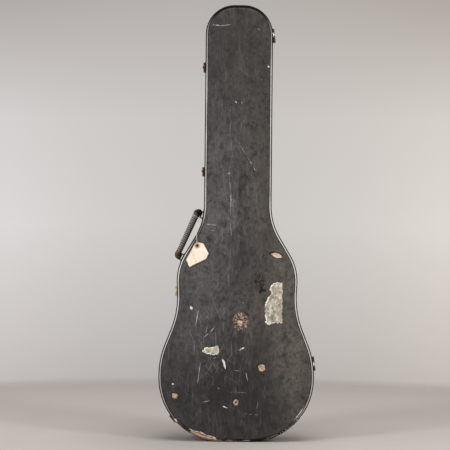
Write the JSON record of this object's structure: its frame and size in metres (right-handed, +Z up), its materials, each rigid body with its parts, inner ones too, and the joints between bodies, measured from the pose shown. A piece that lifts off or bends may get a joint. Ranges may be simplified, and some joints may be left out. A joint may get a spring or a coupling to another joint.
{
  "type": "guitar case",
  "caption": "Guitar-shaped hard case standing on its tail, with a hinged lid, snap latches, a side handle, a plush inside with a compartment, and a paper tag.",
  "frame": {"origin": "middle of the flat at the tail that the case stands on", "axes": "+Z up along the length from the tail to the head, +X across to the hinge side, -Y out of the lid's face"},
  "size_m": [0.386, 0.1219, 1.067],
  "materials": {
    "leatherette": "worn pebbled leatherette",
    "edge_welt": "polished by wear",
    "plywood": "bare plywood",
    "plush": "short plush pile",
    "ribbon": "woven ribbon",
    "aged_brass": "tarnished",
    "steel": "dull",
    "handle_leather": "stitched and worn",
    "paper": "manila",
    "tag_ring": "pressed fibre",
    "string": "twisted cotton"
  },
  "bodies": {
    "base": {"accessory_tray": "plywood", "base_back_covering": "leatherette", "base_board": "plywood", "base_edge_welt": "edge_welt", "base_lining": "plush", "base_rivets": "aged_brass", "base_side_covering": "leatherette", "base_side_glides": "aged_brass", "base_side_lining": "plush", "base_tail_covering": "leatherette", "base_wall_left": "plywood", "base_wall_right": "plywood", "handle_bracket_lower": "aged_brass", "handle_bracket_upper": "aged_brass", "hinge_lower_base_leaf": "aged_brass", "hinge_lower_pin": "steel", "hinge_upper_base_leaf": "aged_brass", "hinge_upper_pin": "steel", "latch_head_lock": "aged_brass", "latch_neck_lock": "aged_brass", "latch_tail_lock": "aged_brass", "latch_waist_lock": "aged_brass", "locating_lip_left": "plywood", "locating_lip_right": "plywood", "neck_cradle": "plush"},
    "lid": {"hinge_lower_lid_leaf": "aged_brass", "hinge_upper_lid_leaf": "aged_brass", "latch_head_plate": "aged_brass", "latch_neck_plate": "aged_brass", "latch_tail_plate": "aged_brass", "latch_waist_plate": "aged_brass", "lid_board": "plywood", "lid_edge_welt": "edge_welt", "lid_face_covering": "leatherette", "lid_lining": "plush", "lid_rivets": "aged_brass", "lid_side_covering": "leatherette", "lid_side_glides": "aged_brass", "lid_side_lining": "plush", "lid_tail_covering": "leatherette", "lid_wall_left": "plywood", "lid_wall_right": "plywood", "paper_tag": "paper", "tag_ring": "tag_ring", "tag_string": "string"},
    "accessory_lid": {"accessory_lid": "plush", "accessory_pull_tab": "ribbon"},
    "handle": {"handle_grip": "handle_leather", "handle_loop_upper": "aged_brass", "handle_loop_lower": "aged_brass", "tag_string_loop": "string"},
    "latch_head_hasp": {"latch_head_hasp": "aged_brass"},
    "latch_head_button": {"latch_head_button": "aged_brass"},
    "latch_neck_hasp": {"latch_neck_hasp": "aged_brass"},
    "latch_neck_button": {"latch_neck_button": "aged_brass"},
    "latch_waist_hasp": {"latch_waist_hasp": "aged_brass"},
    "latch_waist_button": {"latch_waist_button": "aged_brass"},
    "latch_tail_hasp": {"latch_tail_hasp": "aged_brass"},
    "latch_tail_button": {"latch_tail_button": "aged_brass"}
  },
  "joints": [
    {"name": "lid_hinge", "type": "hinge", "parent": "base", "child": "lid", "pos_m": [0.15058, -0.0175, 0.5], "axis": [-0.1298, 0, 0.9915], "range_deg": [0, 105]},
    {"name": "accessory_hinge", "type": "hinge", "parent": "base", "child": "accessory_lid", "pos_m": [0.0644, 0.0075, 0.72], "axis": [0, 0, 1], "range_deg": [0, 84]},
    {"name": "hasp_head", "type": "hinge", "parent": "lid", "child": "latch_head_hasp", "pos_m": [-0.08537, -0.0295, 0.917], "axis": [0.0011, 0, 1], "range_deg": [0, 110]},
    {"name": "button_head", "type": "slide", "parent": "base", "child": "latch_head_button", "axis": [-0.0011, 0, -1], "range_m": [0, 0.005], "stiffness_N_per_m": 150},
    {"name": "hasp_neck", "type": "hinge", "parent": "lid", "child": "latch_neck_hasp", "pos_m": [-0.08566, -0.0295, 0.66], "axis": [0.0011, 0, 1], "range_deg": [0, 110]},
    {"name": "button_neck", "type": "slide", "parent": "base", "child": "latch_neck_button", "axis": [-0.0011, 0, -1], "range_m": [0, 0.005], "stiffness_N_per_m": 150},
    {"name": "hasp_waist", "type": "hinge", "parent": "lid", "child": "latch_waist_hasp", "pos_m": [-0.14959, -0.0295, 0.36484], "axis": [-0.0504, 0, 0.9987], "range_deg": [0, 110]},
    {"name": "button_waist", "type": "slide", "parent": "base", "child": "latch_waist_button", "axis": [0.0504, 0, -0.9987], "range_m": [0, 0.005], "stiffness_N_per_m": 150},
    {"name": "hasp_tail", "type": "hinge", "parent": "lid", "child": "latch_tail_hasp", "pos_m": [-0.155, -0.0295, 0.05191], "axis": [-0.6516, 0, 0.7586], "range_deg": [0, 110]},
    {"name": "button_tail", "type": "slide", "parent": "base", "child": "latch_tail_button", "axis": [0.6516, 0, -0.7586], "range_m": [0, 0.005], "stiffness_N_per_m": 150},
    {"name": "handle_swing", "type": "hinge", "parent": "base", "child": "handle", "pos_m": [-0.11628, 0.008, 0.50326], "axis": [-0.4295, 0, -0.9031], "range_deg": [-60, 60]}
  ],
  "couplings": [
    {"joint": "accessory_hinge", "follows": "lid_hinge", "ratio": 0.8}
  ]
}
